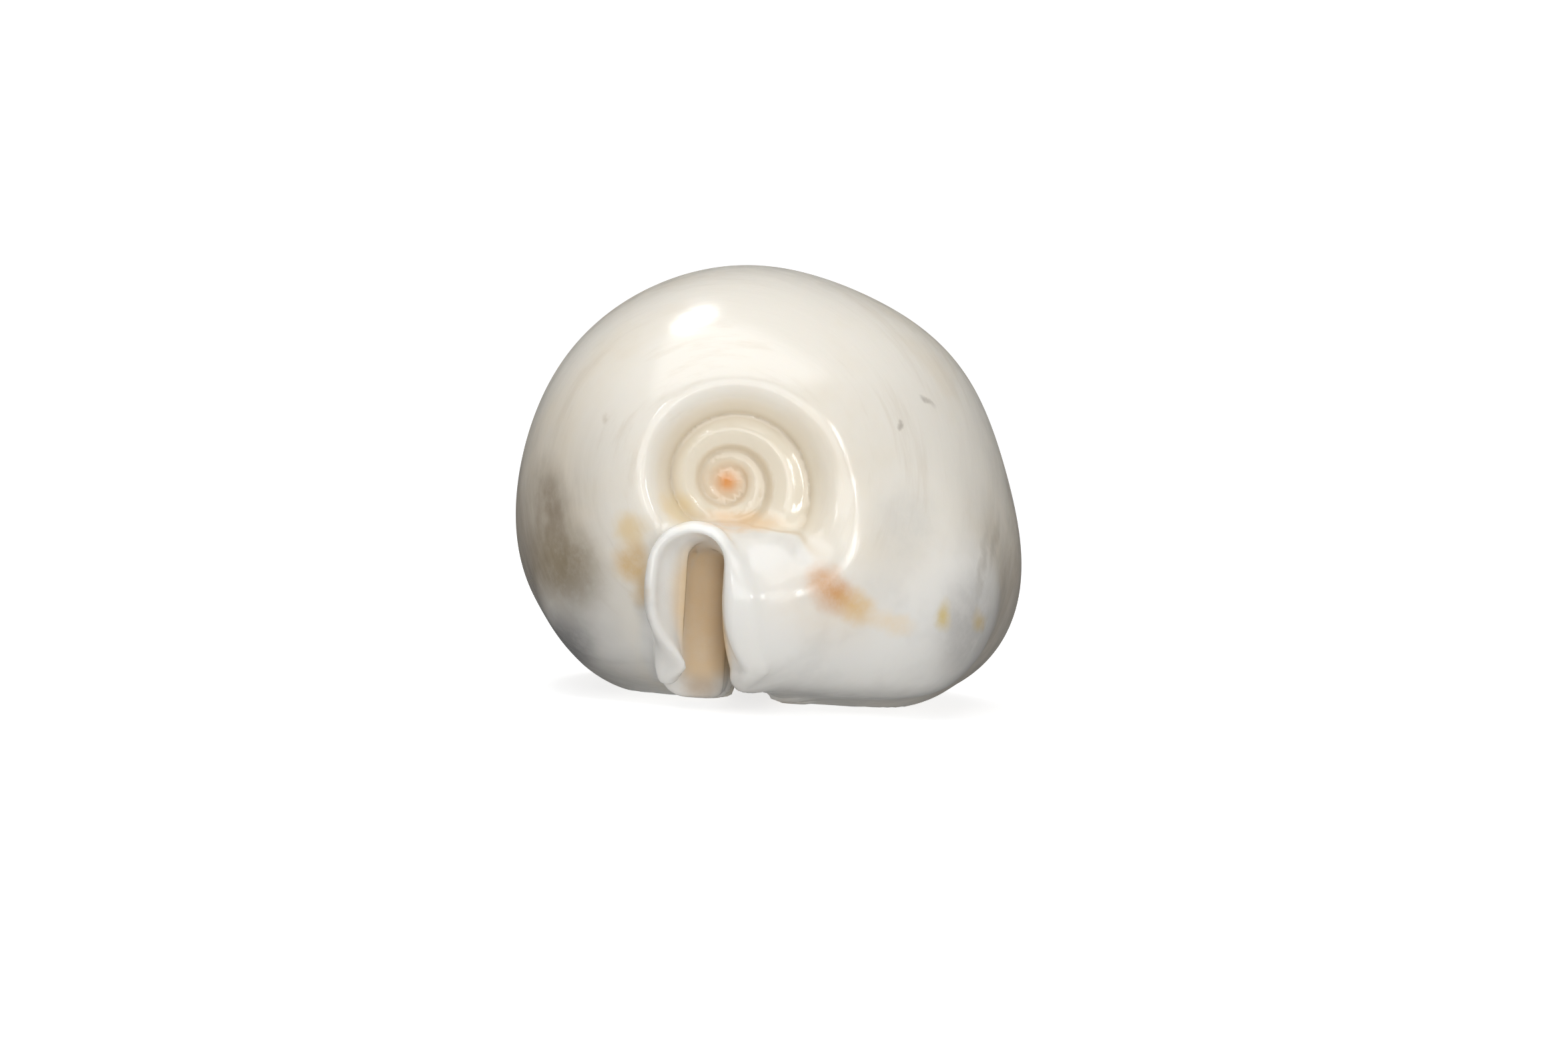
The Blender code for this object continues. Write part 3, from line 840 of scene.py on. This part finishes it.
def roughness(make, grain, near_spire):
    """Glossiest in and around the spire, and a little duller on the lips."""
    body = make.ramp(grain, 0.3, 0.75, 0.17, 0.24)
    body = make.maths("SUBTRACT", body, make.maths("MULTIPLY", near_spire, 0.07))
    return make.maths("ADD", body, make.maths("MULTIPLY", make.mark("callus"), 0.025))


def both_sides(make, across, left, right, right_share):
    """From 0 near the middle to 1 out on the left, and to right_share out on the right."""
    on_right = make.maths("MULTIPLY", make.ramp(across, *right), right_share)
    return make.maths("ADD", make.ramp(across, *left), on_right)


def cream_of_the_back(make, colours, cloud, line):
    """Cream with warm clouds and fine growth lines."""
    colour = make.mix(make.ramp(cloud, 0.42, 0.72), tuple(colours.cream), tuple(colours.warm))
    return make.mix(make.maths("MULTIPLY", make.ramp(line, 0.5, 0.75), 0.35), colour, tuple(colours.line))


def over_the_flanks(make, colour, colours, across, low, line):
    """Brown grey low on both flanks, broken up along the growth lines: partly the enamel's own colour,
    partly painted shade, darker towards the bottom.
    """
    flank_and_shade = both_sides(make, across, (-0.014, -0.028), (0.017, 0.030), 0.75)
    # Painted shade: the flank colour grows stronger towards the bottom.
    flank_and_shade = make.maths("MULTIPLY", flank_and_shade, make.ramp(low, 0.040, 0.012))
    flank_and_shade = make.maths("MULTIPLY", flank_and_shade, make.ramp(line, 0.25, 0.65, 0.65, 1.0))
    return make.mix(flank_and_shade, colour, tuple(colours.flank_and_shade))


def over_the_spire(make, colour, colours, wandered):
    """Beige in the pit, stronger where it is deeper (partly its own colour, partly painted shade in the
    hollow), brown in its seams, and peach and orange about the apex.
    """
    colour = make.mix(make.maths("MULTIPLY", make.mark("pit"), 0.8), colour, tuple(colours.pit))
    colour = make.mix(make.maths("MULTIPLY", make.mark("suture"), 0.4), colour, tuple(colours.seam))
    halo = make.spot(wandered, (APEX_X, -34.0, APEX_Z), (3.6, 14.0, 3.6))
    colour = make.mix(make.maths("MULTIPLY", halo, 0.55), colour, tuple(colours.halo))
    return make.mix(make.mark("apex"), colour, tuple(colours.apex))


def over_the_lips(make, colour, colours, across, low, wandered):
    """Mottled bluish white callus, with painted shade in grey low towards the flanks, and a brown edge by
    the canal.
    """
    callus = make.mark("callus")
    mottled = make.maths("MULTIPLY", make.ramp(make.noise(wandered, MOTTLE_SCALE, 3.0), 0.42, 0.66), 0.16)
    colour = make.mix(callus, colour, make.mix(mottled, tuple(colours.callus), tuple(colours.shade)))
    # Painted shade: grey over the lips, low down towards both flanks.
    painted_low_shade = both_sides(make, across, (-0.011, -0.024), (0.012, 0.027), 0.7)
    painted_low_shade = make.maths("MULTIPLY", painted_low_shade, make.ramp(low, 0.021, 0.004))
    colour = make.mix(make.maths("MULTIPLY", painted_low_shade, 0.8), colour, tuple(colours.shade))
    edge = make.maths("MULTIPLY", make.ramp(callus, 0.15, 0.5), make.ramp(callus, 0.85, 0.5))
    by_canal = make.spot(wandered, (1.0, -42.0, 20.0), (9.0, 14.0, 4.5))
    edge = make.maths("MULTIPLY", edge, make.maths("MULTIPLY", by_canal, 0.5))
    return make.mix(edge, colour, tuple(colours.seam))


def stains_and_painted_light(make, colour, wandered, grain):
    """The stains, and the patches of painted shade and painted light, over the colour, broken up by the
    grain.
    """
    for _, centre, reach, turn, patch_colour, strength in STAINS_AND_PAINTED_LIGHT:
        spot = make.spot(wandered, centre, reach, turn)
        broken = make.maths("MULTIPLY", spot, make.ramp(grain, 0.3, 0.6, 0.7, 1.0))
        colour = make.mix(make.maths("MULTIPLY", broken, strength), colour, patch_colour)
    return colour


def enamel(colours):
    """Glossy enamel: cream above, bluish on the lips, beige in the spire, brown grey on the flanks, with
    painted shade low on the flanks and lips and in the spire's hollow, and painted light on the rim's crest.
    """
    material = bpy.data.materials.new("cowrie_enamel")
    material.use_nodes = True
    surface = material.node_tree.nodes["Principled BSDF"]
    make = Recipe(material.node_tree)
    place = make.node("ShaderNodeTexCoord").outputs["Object"]
    split = make.node("ShaderNodeSeparateXYZ", Vector=place)
    across, height = split.outputs["X"], split.outputs["Z"]
    cloud = make.noise(place, CLOUD_SCALE, 4.0)
    grain = make.noise(place, GRAIN_SCALE, 5.0, 0.65)
    line = make.noise(make.around(place, split.outputs["Y"]), LINE_SCALE, 5.0, 0.6)
    wandered = make.wandering(place)
    low = make.maths("ADD", height, make.maths("MULTIPLY", make.maths("SUBTRACT", cloud, 0.5), 0.02))

    colour = cream_of_the_back(make, colours, cloud, line)
    colour = over_the_flanks(make, colour, colours, across, low, line)
    colour = over_the_spire(make, colour, colours, wandered)
    colour = over_the_lips(make, colour, colours, across, low, wandered)
    colour = stains_and_painted_light(make, colour, wandered, grain)
    inward = make.maths("MULTIPLY", make.mark("inward"), make.ramp(grain, 0.25, 0.7, 0.8, 1.0))
    make.feed(surface.inputs["Base Color"], make.mix(inward, colour, tuple(colours.canal)))

    near_spire = make.spot(place, (APEX_X, -42.0, APEX_Z), (20.0, 24.0, 20.0))
    make.feed(surface.inputs["Roughness"], roughness(make, grain, near_spire))
    surface.inputs["Metallic"].default_value = 0.0
    surface.inputs["IOR"].default_value = ENAMEL_IOR
    surface.inputs["Subsurface Weight"].default_value = 0.12
    surface.inputs["Subsurface Radius"].default_value = (1.0, 0.7, 0.45)
    surface.inputs["Subsurface Scale"].default_value = 0.0015
    relief = make.maths("ADD", make.maths("MULTIPLY", grain, 0.4), line)
    bump = make.node("ShaderNodeBump", Height=relief, Strength=0.7, Distance=RELIEF)
    make.feed(surface.inputs["Normal"], bump.outputs["Normal"])
    return material


class COWRIE_OT_shell(bpy.types.Operator):
    """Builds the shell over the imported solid"""

    bl_idname = "cowrie.shell"
    bl_label = "Shell"

    def execute(self, context):
        mesh = shell_mesh(context.scene.cowrie_sizes)
        if not mesh.polygons:
            raise RuntimeError("the shell's field has no surface in its box")
        mesh.materials.append(enamel(context.scene.cowrie_colours))
        shell = bpy.data.objects.new("cowrie", mesh)
        context.scene.collection.objects.link(shell)
        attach(shell, "root")
        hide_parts("cowrie_shell")
        return {"FINISHED"}


def seen_at(distance):
    """The camera's place and turn, so that the shell stands where the photograph has it."""
    height = math.radians(CAMERA_HEIGHT_DEGREES)
    middle = Vector((0.0, 0.0, AIM_Z * METRE))
    away = Vector((0.0, -math.cos(height), math.sin(height)))
    right = Vector((1.0, 0.0, 0.0))
    up = right.cross(-away)
    roll = math.radians(CAMERA_ROLL_DEGREES)
    right, up = right * math.cos(roll) + up * math.sin(roll), up * math.cos(roll) - right * math.sin(roll)
    aside = (SHELL_MIDDLE_AT[0] - FRAME_WIDTH / 2) / PIXELS_PER_MM * METRE
    above = (FRAME_HEIGHT / 2 - SHELL_MIDDLE_AT[1]) / PIXELS_PER_MM * METRE
    place = middle + away * distance
    forward = (middle - right * aside - up * above - place).normalized()
    right = forward.cross(up).normalized()
    up = right.cross(forward)
    turn = Matrix((right, up, -forward)).transposed()
    return Matrix.Translation(place) @ turn.to_4x4()


def softbox(scene, name, direction, size, power, lean):
    """A softbox that looks at the shell's middle from a direction, and leans clockwise to the camera."""
    light = bpy.data.lights.new(name, "AREA")
    light.shape = "RECTANGLE"
    light.size, light.size_y = size
    light.energy = power
    made = bpy.data.objects.new(name, light)
    away = Vector(direction).normalized()
    turn = (-away).to_track_quat("-Z", "Y") @ Quaternion((0.0, 0.0, 1.0), math.radians(-lean))
    made.location = Vector((0.0, 0.0, AIM_Z * METRE)) + away * LIGHT_DISTANCE
    made.rotation_euler = turn.to_euler()
    made.visible_camera = False
    scene.collection.objects.link(made)


def sweep(scene, colour, glow, white):
    """Floor and backdrop in one curved sheet, which looks bright but gives off only a little light."""
    profile = [(SWEEP_NEAR_Y, 0.0), (SWEEP_BEND_Y, 0.0)]
    for step in range(1, SWEEP_STEPS + 1):
        angle = step / SWEEP_STEPS * math.pi / 2
        beyond, above = SWEEP_RADIUS * math.sin(angle), SWEEP_RADIUS * (1.0 - math.cos(angle))
        profile.append((SWEEP_BEND_Y + beyond, above))
    profile.append((SWEEP_BEND_Y + SWEEP_RADIUS, SWEEP_TOP_Z))
    points = [(side * SWEEP_HALF_WIDTH, y, z) for y, z in profile for side in (-1, 1)]
    faces = [(2 * i, 2 * i + 1, 2 * i + 3, 2 * i + 2) for i in range(len(profile) - 1)]
    mesh = bpy.data.meshes.new("studio_sweep")
    mesh.from_pydata(points, [], faces)
    mesh.shade_smooth()
    material = bpy.data.materials.new("pale_paper")
    material.use_nodes = True
    make = Recipe(material.node_tree)
    surface = material.node_tree.nodes["Principled BSDF"]
    place = make.node("ShaderNodeTexCoord").outputs["Object"]
    paper = make.noise(place, 8.0, 2.0)
    tint = make.mix(make.maths("MULTIPLY", paper, 0.06), tuple(colour), tuple(0.94 * c for c in colour))
    make.feed(surface.inputs["Base Color"], tint)
    surface.inputs["Roughness"].default_value = 0.85
    surface.inputs["Specular IOR Level"].default_value = 0.1
    surface.inputs["Emission Color"].default_value = (1.0, 1.0, 1.0, 1.0)
    seen = make.node("ShaderNodeLightPath").outputs["Is Camera Ray"]
    make.feed(surface.inputs["Emission Strength"], make.ramp(seen, 0.0, 1.0, glow, white))
    mesh.materials.append(material)
    made = bpy.data.objects.new("studio_sweep", mesh)
    made.visible_glossy = False
    scene.collection.objects.link(made)
    return made


def room(level):
    """The world: white to the camera, and a low even light to everything else."""
    world = bpy.data.worlds.new("studio_room")
    world.use_nodes = True
    make = Recipe(world.node_tree)
    seen = make.node("ShaderNodeLightPath").outputs["Is Camera Ray"]
    background = world.node_tree.nodes["Background"]
    background.inputs["Color"].default_value = (1.0, 1.0, 1.0, 1.0)
    make.feed(background.inputs["Strength"], make.ramp(seen, 0.0, 1.0, level, BACKDROP_WHITE))
    return world


def camera_at(distance):
    """The camera, with the lens that gives the photograph's scale from a distance."""
    camera = bpy.data.objects.new("camera", bpy.data.cameras.new("camera"))
    camera.data.sensor_width = SENSOR_WIDTH
    camera.data.lens = SENSOR_WIDTH * distance * PIXELS_PER_MM / METRE / FRAME_WIDTH
    camera.data.clip_start = 0.01
    camera.data.clip_end = 20.0
    camera.matrix_world = seen_at(distance)
    return camera


class COWRIE_OT_studio(bpy.types.Operator):
    """Sets up the pale floor, the softboxes and the camera"""

    bl_idname = "cowrie.studio"
    bl_label = "Studio"

    def execute(self, context):
        scene = context.scene
        studio = scene.cowrie_studio
        sweep(scene, studio.floor_colour, studio.table_glow, studio.table_white)
        for name, direction, size, lean, power in SOFTBOXES:
            softbox(scene, name, direction, size, getattr(studio, power), lean)
        scene.world = room(studio.room)
        scene.view_settings.view_transform = "Standard"
        camera = camera_at(studio.camera_distance)
        scene.collection.objects.link(camera)
        scene.camera = camera
        return {"FINISHED"}


class VIEW3D_PT_cowrie(bpy.types.Panel):
    """Lists the shell's pieces and their settings"""

    bl_label = "Cowrie"
    bl_space_type = "VIEW_3D"
    bl_region_type = "UI"
    bl_category = "Cowrie"

    def draw(self, context):
        scene = context.scene
        for operator, groups in (
            ("cowrie.shell", (scene.cowrie_sizes, scene.cowrie_colours)),
            ("cowrie.studio", (scene.cowrie_studio,)),
        ):
            box = self.layout.box()
            box.operator(operator)
            for group in groups:
                for name in group.__annotations__:
                    box.prop(group, name)


CLASSES = (CowrieSizes, CowrieColours, CowrieStudio, COWRIE_OT_shell, COWRIE_OT_studio, VIEW3D_PT_cowrie)


def register():
    for made in CLASSES:
        bpy.utils.register_class(made)
    bpy.types.Scene.cowrie_sizes = PointerProperty(type=CowrieSizes)
    bpy.types.Scene.cowrie_colours = PointerProperty(type=CowrieColours)
    bpy.types.Scene.cowrie_studio = PointerProperty(type=CowrieStudio)


def unregister():
    del bpy.types.Scene.cowrie_studio
    del bpy.types.Scene.cowrie_colours
    del bpy.types.Scene.cowrie_sizes
    for made in reversed(CLASSES):
        bpy.utils.unregister_class(made)


def main():
    register()
    bpy.ops.cowrie.shell()
    bpy.ops.cowrie.studio()


if __name__ == "__main__":
    main()
